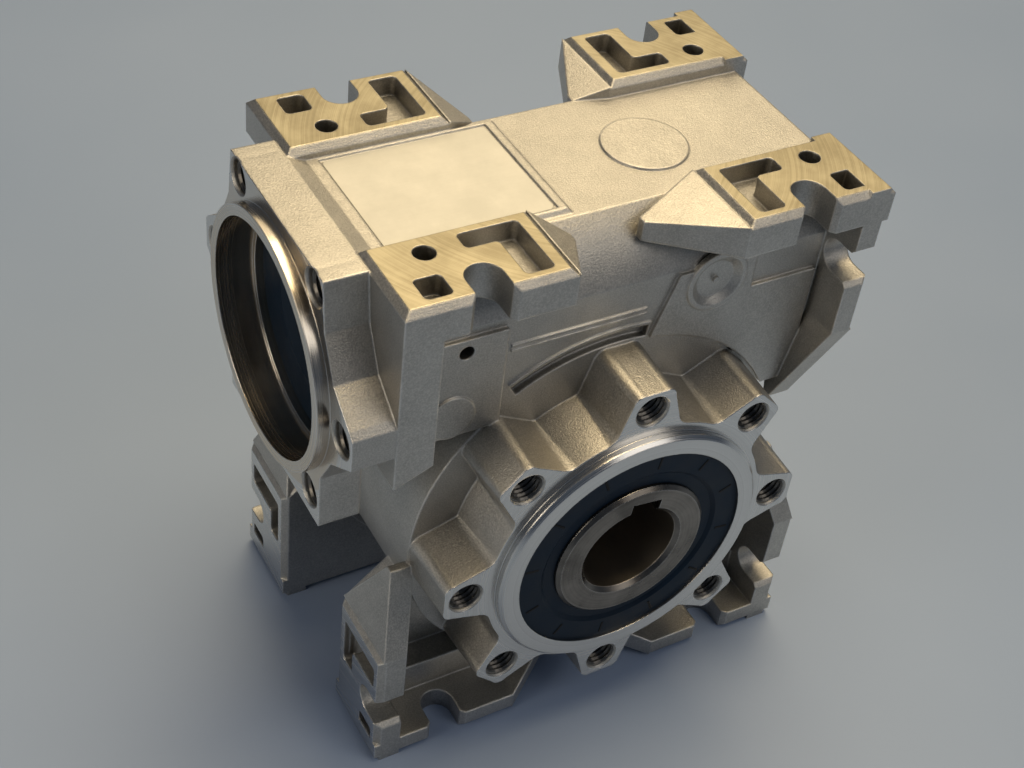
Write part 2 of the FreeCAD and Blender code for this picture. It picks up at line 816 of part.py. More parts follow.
def add_wall_marks(body):
    """Panels, bosses, lines and groove of the front wall, and the corner rib beside them."""
    wall = "-barrel_half_width"
    rib_low = "corner_rib_low + corner_rib_slope"
    pad(body, "corner_rib", "z", rib_low, "top_height - top_foot_thickness", [
        ("-foot_reach", "-foot_far"),
        ("-corner_rib_right", "-foot_far"),
        ("-panel_left", f"{wall} - panel_height"),
        ("-panel_left", "-foot_near"),
        ("-foot_reach", "-foot_near"),
    ])
    pad(body, "corner_rib_end", "y", "-foot_far", wall, [
        ("-foot_reach", "corner_rib_low"),
        ("-corner_rib_right", rib_low),
        ("-foot_reach", rib_low),
    ])
    pad(body, "wall_panel", "y", f"{wall} - panel_height", wall, rectangle(
        "-panel_left", "-panel_right", "panel_low", "panel_high"))
    pad(body, "blank_disc", "y", f"{wall} - panel_height - blank_disc_rise", wall, circle(
        "-blank_disc_left", "blank_disc_height", "blank_disc_radius"))
    pad(body, "side_panel", "y", f"{wall} - side_panel_height", wall, side_panel_outline())
    pad(body, "side_wall", "y", wall, f"{wall} + side_wall_depth", rectangle(
        "side_panel_step", "side_panel_right", "side_panel_low", "side_panel_high"))
    lines = [rectangle("-line_left", "line_right", f"{height} - line_width", height)
             for height in ("line_height", "line_height - line_pitch")]
    pad(body, "double_line", "y", f"{wall} - line_rise", wall, *lines)
    pad(body, "groove_bead", "y", f"{wall} - bead_rise", wall,
        groove_arc("groove_outer", "groove_outer + bead_width"))
    dish = ("dish_right", "dish_height")
    pad(body, "dish_boss", "y", f"{wall} - dish_rise", wall, circle(*dish, "dish_radius"))
    pocket(body, "dish", "y", f"{wall} - dish_rise", f"{wall} - dish_rise + dish_depth",
           circle(*dish, "dish_radius - dish_rim"), taper="dish_slope")
    pad(body, "dish_dot", "y", f"{wall} - dish_rise + dish_depth - dish_dot_radius", wall,
        circle(*dish, "dish_dot_radius"))
    pocket(body, "panel_hole", "y", f"{wall} - panel_height", f"{wall} + panel_hole_diameter", circle(
        "-panel_hole_left", "panel_hole_height", "panel_hole_diameter/2"))
    pocket(body, "wall_groove", "y", wall, f"{wall} + groove_depth",
           groove_arc("groove_inner", "groove_outer"))


def add_top_marks(body):
    """Round mark, label seat and the saddle between the seat and the motor flange, on the case's top."""
    top = "barrel_top + label_block_rise"
    pad(body, "top_disc", "z", "barrel_top - top_disc_rise", "barrel_top + top_disc_rise", circle(
        "top_disc_right", "-top_disc_front", "top_disc_radius"))
    flange = "input_flange_thickness - input_face"
    flared(body, "label_block", "z", "barrel_top", top, "-45", rectangle(
        flange, "-label_block_right", "-label_block_half", "label_block_half"))
    pad(body, "saddle", "y", "-foot_near", "foot_near", [
        (flange, "barrel_top"),
        ("-saddle_end", "barrel_top"),
        ("-saddle_end", top),
        (flange, "centre_distance + flange_top"),
    ])
    pocket(body, "label_recess", "z", f"{top} - label_depth", top, rectangle(
        "-label_left", "-label_right", "-label_half", "label_half"))


def build_case_shell():
    """Drum, worm barrel, motor flange and webs of the case, before it is hollowed."""
    body = new_body("case_shell")
    pad(body, "drum", "y", "-drum_front", "cover_seat", circle("0", "0", "drum_radius"))
    pad(body, "rear_rim", "y", "cover_seat - rear_rim_depth", "cover_seat", circle("0", "0", "cover_radius"))
    pad(body, "barrel", "x", "input_flange_thickness - input_face", "barrel_end", barrel_outline())
    pad(body, "motor_flange", "x", "-input_face", "input_flange_thickness - input_face",
        input_flange_outline())
    pad(body, "motor_spigot", "x", "-input_face - input_spigot_length", "-input_face",
        on_worm_axis("input_spigot_diameter/2"))
    add_webs(body)
    add_wall_marks(body)
    add_top_marks(body)
    return body


def build_case_core():
    """Gear chamber, worm tunnel, seats and holes of the case."""
    core = new_body("case_core")
    pad(core, "chamber", "y", "-chamber_front", "cover_seat", circle("0", "0", "chamber_radius"))
    pad(core, "cover_room", "y", "cover_seat", "foot_far + foot_bevel",
        circle("0", "0", "cover_radius + cover_gap"))
    mouth = "input_mouth_depth - input_face - input_spigot_length"
    input_ring = "-input_bearing_seat - input_bearing_width"
    rear_ring = "rear_bearing_seat + rear_bearing_width"
    pad(core, "tunnel", "x", "-input_bearing_seat", "rear_bearing_seat", on_worm_axis("tunnel_radius"))
    pad(core, "input_seat", "x", mouth, "-input_bearing_seat",
        on_worm_axis("input_bearing_outside/2 + seat_gap"))
    pad(core, "motor_mouth", "x", "-input_face - input_spigot_length - cut_past", mouth,
        on_worm_axis("input_mouth_diameter/2"))
    pad(core, "rear_seat", "x", "rear_bearing_seat", "foot_reach + cut_past",
        on_worm_axis("rear_bearing_outside/2 + seat_gap"))
    pad(core, "input_ring_groove", "x", f"{input_ring} - ring_thickness - running_gap", input_ring,
        on_worm_axis("input_bearing_outside/2 + ring_groove"))
    pad(core, "rear_ring_groove", "x", rear_ring, f"{rear_ring} + ring_thickness + running_gap",
        on_worm_axis("rear_bearing_outside/2 + ring_groove"))
    pad(core, "input_thread_holes", "x", "-input_face - cut_past",
        "input_flange_thickness - input_face - cut_past", *input_holes())
    flared(core, "input_thread_mouths", "x", "thread_bevel - input_face", "-input_face", "45", *input_holes())
    screw = pad(core, "cover_screw_hole", "y", "cover_seat - screw_length", "cover_seat",
                circle(*cover_screw_spot(), "screw_diameter/2 + seat_gap"))
    ring_of(core, "cover_screw_holes", [screw], "y", "output_bolts")
    pins = [circle(f"{x}*pin_hole_reach", f"{y}*pin_hole_half_pitch", "pin_hole_diameter/2")
            for x in (-1, 1) for y in (-1, 1)]
    pad(core, "pin_holes", "z", "top_height - pin_hole_depth", "top_height + cut_past", *pins)
    add_output_core(core, -1, "-chamber_front")
    return core


def build_case():
    """Die-cast case with the front output flange, the motor flange and feet on four faces."""
    top = build_feet("top", "z", 1, "top_height", "top_foot_thickness", "deep_pocket", FLAT_SPANS)
    add_top_gussets(top)
    base = build_feet("base", "z", -1, "base_height", "base_foot_thickness", "shallow_pocket", FLAT_SPANS)
    base_tip = "foot_inner - base_gusset_reach"
    add_gussets(base, "x", -1, "base_height", "base_foot_thickness",
                [("foot_inner", base_tip), ("-foot_inner", f"-({base_tip})")])
    lower_rib = ("-lower_foot_end", "lower_gusset_reach - lower_foot_end")
    upper_rib = ("upper_foot_end", "upper_foot_end - upper_gusset_reach")
    side = ("foot_reach", "side_foot_thickness")
    right = build_feet("right", "x", 1, *side, "shallow_pocket", [UPPER_SPAN, LOWER_SPAN])
    add_gussets(right, "z", 1, *side, [lower_rib, upper_rib])
    left = build_feet("left", "x", -1, *side, "shallow_pocket", [LOWER_SPAN])
    add_gussets(left, "z", -1, *side, [lower_rib])
    flange = new_body("front_flange")
    add_output_flange(flange, -1)
    return joined("gear_case", [build_case_shell(), flange, top, base, right, left], build_case_core())


# Side cover

def build_cover():
    """Bolted cover that carries the rear bearing and repeats the output flange."""
    plate = new_body("cover_plate")
    pad(plate, "plate", "y", "cover_seat", "cover_seat + cover_thickness", circle("0", "0", "cover_radius"))
    pad(plate, "locating_spigot", "y", "cover_seat - cover_spigot_length", "cover_seat",
        circle("0", "0", "chamber_radius - seat_gap"))
    middle = "cover_seat - cover_spigot_length/2"
    groove_low = f"{middle} - o_ring_section/2 - cover_gap"
    groove_high = f"{middle} + o_ring_section/2 + cover_gap"
    turned(plate, "o_ring_groove", "y", [
        (groove_low, "chamber_radius - o_ring_inset"),
        (groove_high, "chamber_radius - o_ring_inset"),
        (groove_high, "chamber_radius + cover_gap"),
        (groove_low, "chamber_radius + cover_gap"),
    ], kind="PartDesign::Groove")
    flange = new_body("rear_flange")
    add_output_flange(flange, 1)
    core = new_body("cover_core")
    add_output_core(core, 1, "cover_seat - cover_spigot_length - cut_past")
    screw = pad(core, "screw_hole", "y", "cover_seat - cut_past", "cover_seat + cover_thickness + cut_past",
                circle(*cover_screw_spot(), "screw_diameter/2 + cover_gap"))
    ring_of(core, "screw_holes", [screw], "y", "output_bolts")
    return joined("side_cover", [plate, flange], core)


def build_cover_screws():
    """Socket-head screws of the side cover."""
    body = new_body("side_cover_screws")
    spot = cover_screw_spot()
    face = "cover_seat + cover_thickness"
    shank = pad(body, "shank", "y", f"{face} - screw_length", face, circle(*spot, "screw_diameter/2"))
    head = pad(body, "head", "y", face, f"{face} + screw_head_height", circle(*spot, "screw_head_diameter/2"))
    corner = "screw_socket/sqrt(3)"
    hexagon = [(f"{spot[0]} + {corner}*cos({angle})", f"{spot[1]} + {corner}*sin({angle})")
               for angle in range(0, 360, 60)]
    socket = pocket(body, "socket", "y", f"{face} + screw_head_height - screw_socket_depth",
                    f"{face} + screw_head_height", hexagon)
    ring_of(body, "screws", [shank, head, socket], "y", "output_bolts")
    return body


def build_o_ring():
    ring = doc.addObject("Part::Torus", "side_cover_o_ring")
    ring.Label = "side_cover_o_ring"
    bind(ring, Radius1="chamber_radius - o_ring_inset + o_ring_section/2", Radius2="o_ring_section/2")
    ring.Placement.Rotation = FreeCAD.Rotation(FreeCAD.Vector(1, 0, 0), 90)
    place(ring, y="cover_seat - cover_spigot_length/2")
    return ring


# Output shaft, wheel rim and seals

def build_output_shaft():
    """Hollow keyed shaft with the hub that carries the wheel rim."""
    body = new_body("hollow_output_shaft")
    half = [
        ("shaft_half_length", "output_bore/2 + bore_bevel"),
        ("shaft_half_length", "shaft_diameter/2 - shaft_bevel"),
        ("shaft_half_length - shaft_bevel", "shaft_diameter/2"),
        ("cover_seat", "shaft_diameter/2"),
        ("cover_seat", "shoulder_diameter/2"),
        ("wheel_width/2", "shoulder_diameter/2"),
        ("wheel_width/2", "hub_diameter/2"),
    ]
    bore = [("shaft_half_length - bore_bevel", "output_bore/2")]
    other = [(f"-({along})", radius) for along, radius in reversed(half)]
    other_bore = [(f"-({along})", radius) for along, radius in bore]
    turned(body, "shaft", "y", bore + half + other + other_bore)
    pocket(body, "keyway", "y", "-shaft_half_length", "shaft_half_length", rectangle(
        "-output_key_width/2", "output_key_width/2", "0", "output_bore/2 + output_key_height"))
    body.Placement.Rotation = FreeCAD.Rotation(FreeCAD.Vector(0, 1, 0), number("key_lean"))
    bind(body, **{"Placement.Rotation.Angle": "key_lean"})
    return body


def gap_profile():
    """One tooth gap of the wheel as radii and half angles, with involute flanks eased by the flank gap."""
    pitch = number("gear_module*wheel_teeth/2")
    pressure = math.radians(number("pressure_angle"))
    base = pitch * math.cos(pressure)
    tip = pitch + number("gear_module")
    root = pitch - number("root_depth*gear_module")
    profile = []
    for radius in (root, base, pitch, (pitch + tip) / 2, tip, tip + number("cut_past")):
        slant = math.acos(base / max(radius, base))
        roll = math.tan(slant) - slant - math.tan(pressure) + pressure
        half = math.pi / 2 / number("wheel_teeth") + roll + number("flank_gap") / 2 / radius
        profile.append((radius, half))
    return profile


def gap_wire(along, lean):
    """Outline of the tooth gap at a place along Y, turned by a lean angle."""
    profile = gap_profile()
    corners = [(radius, lean - half) for radius, half in reversed(profile)]
    corners += [(radius, lean + half) for radius, half in profile]
    spots = [FreeCAD.Vector(radius * math.sin(angle), along, radius * math.cos(angle))
             for radius, angle in corners]
    return Part.makePolygon(spots + spots[:1])


def build_wheel_rim():
    """Bronze rim with helical teeth that lie along the worm's thread."""
    half = number("wheel_width/2")
    pitch = number("gear_module*wheel_teeth/2")
    teeth = int(number("wheel_teeth"))
    along_y = FreeCAD.Vector(0, 1, 0)
    start = FreeCAD.Vector(0, -half, 0)
    blank = Part.makeCylinder(pitch + number("gear_module"), 2 * half, start, along_y)
    blank = blank.cut(Part.makeCylinder(number("hub_diameter/2 + seat_gap"), 2 * half, start, along_y))
    past = half + number("cut_past")
    lean = past * number("worm_starts*gear_module/worm_pitch_diameter") / pitch
    gap = Part.makeLoft([gap_wire(-past, -lean), gap_wire(past, lean)], True, True)
    gaps = []
    for tooth in range(teeth):
        copy = gap.copy()
        copy.rotate(FreeCAD.Vector(), along_y, 360 * tooth / teeth)
        gaps.append(copy)
    rim = doc.addObject("Part::Feature", "worm_wheel_rim")
    rim.Label = "worm_wheel_rim"
    rim.Shape = blank.cut(gaps)
    rim.Placement = FreeCAD.Placement()
    return rim


def build_output_seal(label, side):
    """Oil seal of one output side, with a lip groove in its outer face."""
    body = new_body(label)
    way = "-" if side < 0 else ""
    outer = "(spigot_face - output_seal_recess)"
    inner = f"({outer} - output_seal_width)"
    turned(body, "seal", "y", [
        (f"{way}{inner}", "shaft_diameter/2 + running_gap"),
        (f"{way}{inner}", "output_seal_outside/2"),
        (f"{way}{outer}", "output_seal_outside/2"),
        (f"{way}{outer}", "shaft_diameter/2 + lip_band + lip_slope"),
        (f"{way}({outer} - lip_depth)", "shaft_diameter/2 + lip_band"),
        (f"{way}({outer} - lip_depth)", "shaft_diameter/2 + running_gap"),
    ])
    return body


# Ball bearings

def build_bearing(name, axis, sizes, low, at_height):
    """Outer race, inner race, ball set and cage of one deep-groove bearing along an axis."""
    bore, outside, width, ball, count = sizes
    pitch = f"(({bore} + {outside})/4)"
    middle = f"({low} + {width}/2)"
    groove = f"({ball}/2 + ball_gap)"
    land = f"({ball}*race_land)"
    reach = f"sqrt(({groove})^2 - {land}^2)"
    race_low, race_high = f"{low}", f"({low} + {width})"
    outer = new_body(name + "_outer_race")
    outer_land = f"{pitch} + {land}"
    turned(outer, "race", axis, [
        (race_low, f"{outside}/2"),
        (race_low, outer_land),
        (f"{middle} - {reach}", outer_land, (middle, pitch), "right"),
        (f"{middle} + {reach}", outer_land),
        (race_high, outer_land),
        (race_high, f"{outside}/2"),
    ])
    inner = new_body(name + "_inner_race")
    inner_land = f"{pitch} - {land}"
    turned(inner, "race", axis, [
        (race_low, f"{bore}/2 + seat_gap"),
        (race_high, f"{bore}/2 + seat_gap"),
        (race_high, inner_land),
        (f"{middle} + {reach}", inner_land, (middle, pitch), "right"),
        (f"{middle} - {reach}", inner_land),
        (race_low, inner_land),
    ])
    balls = new_body(name + "_balls")
    sphere = balls.newObject("PartDesign::AdditiveSphere", "ball")
    bind(sphere, Radius=f"{ball}/2")
    if axis == "y":
        place(sphere, y=middle, z=pitch)
    else:
        place(sphere, x=middle, z=pitch)
    ring_of(balls, "ball_set", [sphere], axis, count)
    cage = new_body(name + "_cage")
    cage_inside, cage_outside = f"{inner_land} + cage_gap", f"{outer_land} - cage_gap"
    cage_half = f"({ball}/2 + cage_side)"
    turned(cage, "band", axis, [
        (f"{middle} - {cage_half}", cage_inside),
        (f"{middle} + {cage_half}", cage_inside),
        (f"{middle} + {cage_half}", cage_outside),
        (f"{middle} - {cage_half}", cage_outside),
    ])
    spot = ("0", middle) if axis == "y" else (middle, "0")
    window = pocket(cage, "window", "z", "0", f"{outside}/2", circle(*spot, f"{ball}/2 + cage_window_gap"))
    ring_of(cage, "windows", [window], axis, count)
    bodies = [outer, inner, balls, cage]
    for body in bodies:
        place(body, z=at_height)
    return bodies


OUTPUT_BEARING = (
    "shaft_diameter", "output_bearing_outside", "output_bearing_width", "output_ball", "output_balls")
INPUT_BEARING = (
    "input_journal", "input_bearing_outside", "input_bearing_width", "input_ball", "input_balls")
REAR_BEARING = (
    "rear_journal", "rear_bearing_outside", "rear_bearing_width", "rear_ball", "rear_balls")


# Worm, its seal, retaining rings and cap

def build_worm():
    """Worm shaft with two thread starts and a hollow keyed motor end."""
    body = new_body("worm_shaft")
    lead = "pi*gear_module*worm_starts"
    thread_half = f"({lead}*thread_turns/2)"
    neck = f"({thread_half} + 2*gear_module)"
    turned(body, "shaft", "x", [
        ("worm_bore_depth - worm_end", "0"),
        ("worm_bore_depth - worm_end", "worm_bore/2"),
        ("-worm_end", "worm_bore/2"),
        ("-worm_end", "input_journal/2 - shaft_bevel"),
        ("shaft_bevel - worm_end", "input_journal/2"),
        ("-input_bearing_seat", "input_journal/2"),
        ("-input_bearing_seat", "input_journal/2 + worm_collar_rise"),
        ("worm_collar_length - input_bearing_seat", "input_journal/2 + worm_collar_rise"),
        ("worm_collar_length - input_bearing_seat", "worm_neck_diameter/2"),
        (f"-{neck}", "worm_neck_diameter/2"),
        (f"-{neck}", "worm_root"),
        (neck, "worm_root"),
        (neck, "rear_journal/2 + worm_collar_rise"),
        ("rear_bearing_seat", "rear_journal/2 + worm_collar_rise"),
        ("rear_bearing_seat", "rear_journal/2"),
        ("rear_bearing_seat + rear_bearing_width - running_gap", "rear_journal/2"),
        ("rear_bearing_seat + rear_bearing_width - running_gap", "0"),
    ])
    slope = "tan(pressure_angle)"
    at_root = f"(pi*gear_module/4 + (root_depth*gear_module + thread_sink)*{slope} - flank_gap/2)"
    at_tip = f"(pi*gear_module/4 - gear_module*{slope} - flank_gap/2)"
    tip = "worm_pitch_diameter/2 + gear_module"
    profile = new_sketch(body, "thread_sketch", "y")
    draw(profile, [
        (f"-{thread_half} - {at_root}", "worm_root - thread_sink"),
        (f"-{thread_half} + {at_root}", "worm_root - thread_sink"),
        (f"-{thread_half} + {at_tip}", tip),
        (f"-{thread_half} - {at_tip}", tip),
    ])
    thread = body.newObject("PartDesign::AdditiveHelix", "thread")
    thread.Profile = profile
    thread.ReferenceAxis = (profile, ["H_Axis"])
    thread.Mode = "pitch-turns-angle"
    bind(thread, Pitch=lead, Turns="thread_turns")
    doc.recompute()
    ring_of(body, "threads", [thread], "x", "worm_starts")
    pocket(body, "keyway", "x", "-worm_end", "worm_bore_depth - worm_end", rectangle(
        "-worm_key_width/2", "worm_key_width/2", "0", "worm_bore/2 + worm_key_height"))
    place(body, z="centre_distance")
    return body


def build_input_seal():
    body = new_body("input_seal")
    high = "(-input_bearing_seat - input_bearing_width - ring_thickness - 2*running_gap)"
    turned(body, "seal", "x", [
        (f"{high} - input_seal_width", "input_journal/2 + lip_band"),
        (f"{high} - input_seal_width", "input_bearing_outside/2"),
        (high, "input_bearing_outside/2"),
        (high, "input_journal/2 + running_gap"),
        (f"{high} - input_seal_width + input_lip_depth", "input_journal/2 + running_gap"),
    ])
    place(body, z="centre_distance")
    return body


def build_retaining_ring(label, low, outside):
    """Split ring that sits in a groove of the tunnel and holds a bearing."""
    body = new_body(label)
    turned(body, "ring", "x", [
        (low, f"{outside}/2 - ring_band"),
        (f"{low} + ring_thickness", f"{outside}/2 - ring_band"),
        (f"{low} + ring_thickness", f"{outside}/2 + ring_groove - running_gap"),
        (low, f"{outside}/2 + ring_groove - running_gap"),
    ])
    half_gap = f"{outside}/2*sin(ring_gap_angle/2)"
    pocket(body, "gap", "x", low, f"{low} + ring_thickness", rectangle(
        f"-{half_gap}", half_gap, f"-{outside}", f"-{outside}/4"))
    place(body, z="centre_distance")
    return body


def build_end_cap():
    body = new_body("worm_end_cap")
    low = "(rear_bearing_seat + rear_bearing_width + ring_thickness + 2*running_gap)"
    turned(body, "cap", "x", [
        (low, "rear_bearing_outside/2 - cap_wall"),
        (low, "rear_bearing_outside/2"),
        (f"{low} + cap_thickness", "rear_bearing_outside/2"),
        (f"{low} + cap_thickness", "0"),
        (f"{low} + cap_thickness - cap_wall", "0"),
        (f"{low} + cap_thickness - cap_wall", "rear_bearing_outside/2 - cap_wall"),
    ])
    place(body, z="centre_distance")
    return body


# Assembly

pieces = [build_case(), build_cover(), build_cover_screws(), build_o_ring()]
pieces += [build_output_shaft(), build_wheel_rim()]
pieces += [build_output_seal("front_output_seal", -1), build_output_seal("rear_output_seal", 1)]
pieces += build_bearing("front_bearing", "y", OUTPUT_BEARING, "(-cover_seat - output_bearing_width)", "0")
pieces += build_bearing("rear_bearing", "y", OUTPUT_BEARING, "cover_seat", "0")
pieces += [build_worm(), build_input_seal()]
input_low = "(-input_bearing_seat - input_bearing_width)"
pieces += build_bearing("worm_input_bearing", "x", INPUT_BEARING, input_low, "centre_distance")
pieces += build_bearing("worm_end_bearing", "x", REAR_BEARING, "rear_bearing_seat", "centre_distance")
pieces.append(build_retaining_ring(
    "input_retaining_ring", f"({input_low} - ring_thickness - running_gap/2)", "input_bearing_outside"))
pieces.append(build_retaining_ring(
    "end_retaining_ring", "(rear_bearing_seat + rear_bearing_width + running_gap/2)", "rear_bearing_outside"))
pieces.append(build_end_cap())
doc.recompute()

failed = [thing.Name for thing in doc.Objects if {"Invalid", "Error"} & set(thing.State)]
failed += [piece.Label for piece in pieces if piece.Shape.isNull() or not piece.Shape.isValid()]
if failed:
    raise RuntimeError("objects that did not build: " + ", ".join(failed))

os.makedirs("parts", exist_ok=True)
for piece in pieces:
    piece.Shape.exportStep(f"parts/{piece.Label}.step")
    print(piece.Label, len(piece.Shape.Solids), round(piece.Shape.Volume, 1))
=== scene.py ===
"""Worm gear reducer: finishes, threads, blank plate, seal ribs, floor, lights and camera."""
import json
import math

import bpy
from mathutils import Matrix, Vector


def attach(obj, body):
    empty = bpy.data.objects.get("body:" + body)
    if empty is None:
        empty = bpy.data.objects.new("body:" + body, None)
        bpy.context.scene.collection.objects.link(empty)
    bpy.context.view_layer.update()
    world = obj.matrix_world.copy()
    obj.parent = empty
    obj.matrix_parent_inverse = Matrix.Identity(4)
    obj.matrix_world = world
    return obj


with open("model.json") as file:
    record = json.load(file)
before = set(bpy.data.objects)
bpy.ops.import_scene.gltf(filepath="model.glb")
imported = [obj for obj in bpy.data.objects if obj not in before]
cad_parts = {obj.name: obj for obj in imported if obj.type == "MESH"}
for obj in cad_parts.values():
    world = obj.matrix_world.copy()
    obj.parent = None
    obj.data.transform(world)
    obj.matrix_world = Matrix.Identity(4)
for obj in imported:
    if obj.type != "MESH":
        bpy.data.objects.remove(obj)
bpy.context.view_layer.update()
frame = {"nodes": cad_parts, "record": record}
scene = bpy.context.scene

MM = 0.001

# Planes and radii of the case
WORM_HEIGHT = 50 * MM
BASE = -60 * MM
TOP_FEET = 84 * MM
SIDE_FEET = 60 * MM
MOTOR_FACE = -70 * MM
FLANGE_PLANE = 46.4 * MM
SKIN = 0.1 * MM
OUTPUT_SEAT_RADIUS = 34.4 * MM
WORM_TUNNEL_RADIUS = 27.5 * MM
MOTOR_MOUTH_RADIUS = 34.6 * MM
MOTOR_MOUTH_FLOOR = -50 * MM
SHAFT_BORE_RADIUS = 12.6 * MM


# Shader helpers

class Shader:
    """A node material with short ways to add and link its nodes."""

    def __init__(self, name):
        self.material = bpy.data.materials.new(name)
        self.material.use_nodes = True
        self.tree = self.material.node_tree
        self.bsdf = self.tree.nodes["Principled BSDF"]
        self.place = self.add("ShaderNodeTexCoord").outputs["Object"]
        self.normal = self.add("ShaderNodeNewGeometry").outputs["True Normal"]
        self.x, self.y, self.z = self.add("ShaderNodeSeparateXYZ", {"Vector": self.place}).outputs

    def add(self, kind, sockets=(), **settings):
        made = self.tree.nodes.new(kind)
        for name, value in settings.items():
            setattr(made, name, value)
        for key, value in dict(sockets).items():
            self.put(made.inputs[key], value)
        return made

    def put(self, socket, value):
        if isinstance(value, bpy.types.NodeSocket):
            self.tree.links.new(value, socket)
        else:
            socket.default_value = value

    def math(self, operation, *values):
        made = self.add("ShaderNodeMath", operation=operation)
        for socket, value in zip(made.inputs, values):
            self.put(socket, value)
        return made.outputs[0]

    def above(self, value, limit):
        return self.math("GREATER_THAN", value, limit)

    def below(self, value, limit):
        return self.math("LESS_THAN", value, limit)

    def times(self, first, second):
        return self.math("MULTIPLY", first, second)

    def weigh(self, first, first_share, second, second_share):
        """Two values added up in the given shares."""
        return self.math("ADD", self.times(first, first_share), self.times(second, second_share))

    def distance(self, first, second):
        """Distance from an axis, from the two offsets square to it."""
        squares = [self.math("POWER", offset, 2.0) for offset in (first, second)]
        return self.math("SQRT", self.math("ADD", *squares))

    def noise(self, scale, detail=3.0, roughness=0.55, place=None):
        made = self.add("ShaderNodeTexNoise", {
            "Vector": place or self.place, "Scale": scale, "Detail": detail,
            "Roughness": roughness})
        return made.outputs["Fac"]

    def tool_marks(self, axis, height=0.0, fine=2600):
        """Marks of turning round an axis: rings on the faces, a fine feed along the bores."""
        offsets = {"X": self.x, "Y": self.y, "Z": self.z}
        along = offsets.pop(axis)
        first, second = offsets.values()
        if height:
            second = self.math("SUBTRACT", second, height)
        reach = self.math("ADD", self.distance(first, second), along)
        marks = [self.add("ShaderNodeTexNoise", {"W": reach, "Scale": scale, "Detail": 2.0},
                          noise_dimensions="1D").outputs["Fac"] for scale in (fine, fine / 6)]
        return self.weigh(marks[0], 0.6, marks[1], 0.4)

    def ramp(self, value, *stops):
        """Colour ramp through stops of position and colour, two at least."""
        made = self.add("ShaderNodeValToRGB", {"Fac": value})
        for element, (position, colour) in zip(made.color_ramp.elements, stops):
            element.position = position
            element.color = (*colour[:3], 1)
        return made.outputs["Color"]

    def spread(self, value, low, high, to_low=0.0, to_high=1.0):
        made = self.add("ShaderNodeMapRange", {
            "Value": value, "From Min": low, "From Max": high,
            "To Min": to_low, "To Max": to_high})
        return made.outputs["Result"]

    def from_noise(self, noise, to_low, to_high):
        """A noise's usual range, brought to the given one."""
        return self.spread(noise, 0.3, 0.7, to_low, to_high)

    def mix_colour(self, share, first, second):
        sockets = {0: share, 6: first, 7: second}
        return self.add("ShaderNodeMix", sockets, data_type="RGBA").outputs[2]

    def mix_value(self, share, first, second):
        sockets = {0: share, 2: first, 3: second}
        return self.add("ShaderNodeMix", sockets, data_type="FLOAT").outputs[0]

    def rounded_edges(self, radius, samples):
        """Normal that rounds off the edges, and a mask that grows to one along them."""
        normal = self.add("ShaderNodeBevel", {"Radius": radius}, samples=samples).outputs["Normal"]
        agreement = self.add("ShaderNodeVectorMath", {0: normal, 1: self.normal},
                             operation="DOT_PRODUCT").outputs["Value"]
        return normal, self.spread(agreement, 0.985, 0.86)

    def bump(self, height, distance, strength=1.0, normal=None):
        made = self.add("ShaderNodeBump", {
            "Height": height, "Distance": distance, "Strength": strength})
        if normal is not None:
            self.put(made.inputs["Normal"], normal)
        return made.outputs["Normal"]

    def finish(self, **sockets):
        for key, value in sockets.items():
            self.put(self.bsdf.inputs[key.replace("_", " ")], value)
        return self.material


def rgba(red, green, blue):
    return (red, green, blue, 1.0)


# Colours of the metals
CAST_DARK = rgba(0.365, 0.352, 0.328)
CAST_PALE = rgba(0.5, 0.482, 0.447)
CAST_SPECKLE = rgba(0.82, 0.795, 0.745)
TURNED_DARK = rgba(0.58, 0.57, 0.55)
TURNED_PALE = rgba(0.74, 0.73, 0.71)
# Oil film in the motor mouth, partly a painted warm reflection
OIL_AND_WARM_REFLECTION = rgba(0.62, 0.5, 0.35)
MILLED_DARK = rgba(0.3, 0.262, 0.18)
MILLED_PALE = rgba(0.5, 0.45, 0.325)
# Pale edges, partly wear and partly a painted highlight
WEAR_AND_HIGHLIGHT_PALE = rgba(0.88, 0.87, 0.84)
# Painted shade: the colour that hollows and recesses darken towards
PAINTED_HOLLOW_SHADE = rgba(0.07, 0.066, 0.06)
# Paler steel inside the shaft bore: painted light on the bore's wall
BORE_PAINTED_LIGHT = rgba(0.42, 0.375, 0.32)

# Lowest and highest roughness of each surface
CAST_ROUGH = (0.36, 0.52)
TURNED_ROUGH = (0.15, 0.3)
MILLED_ROUGH = (0.36, 0.48)
STEEL_ROUGH = (0.2, 0.38)
BORE_ROUGH = 0.38
RUBBER_ROUGH = (0.4, 0.56)
FOIL_ROUGH = (0.42, 0.55)
FLOOR_ROUGH = (0.42, 0.5)


# Materials

def round_worm(shader):
    """Distance from the worm's axis."""
    return shader.distance(shader.y, shader.math("SUBTRACT", shader.z, WORM_HEIGHT))


def machined_mask(shader):
    """One where the casting is milled or turned: feet, flange faces, spigots and bores."""
    x, y, z = shader.x, shader.y, shader.z
    lower_half = shader.below(z, 0.0)
    masks = [
        shader.above(z, TOP_FEET - SKIN),
        shader.below(z, BASE + SKIN),
        shader.above(x, SIDE_FEET - SKIN),
        shader.times(shader.below(x, SKIN - SIDE_FEET), lower_half),
        shader.below(x, MOTOR_FACE + SKIN),
        shader.above(shader.math("ABSOLUTE", y), FLANGE_PLANE - SKIN),
        shader.below(shader.distance(x, z), OUTPUT_SEAT_RADIUS),
        shader.below(round_worm(shader), WORM_TUNNEL_RADIUS),
    ]
    total = masks[0]
    for mask in masks[1:]:
        total = shader.math("MAXIMUM", total, mask)
    return total


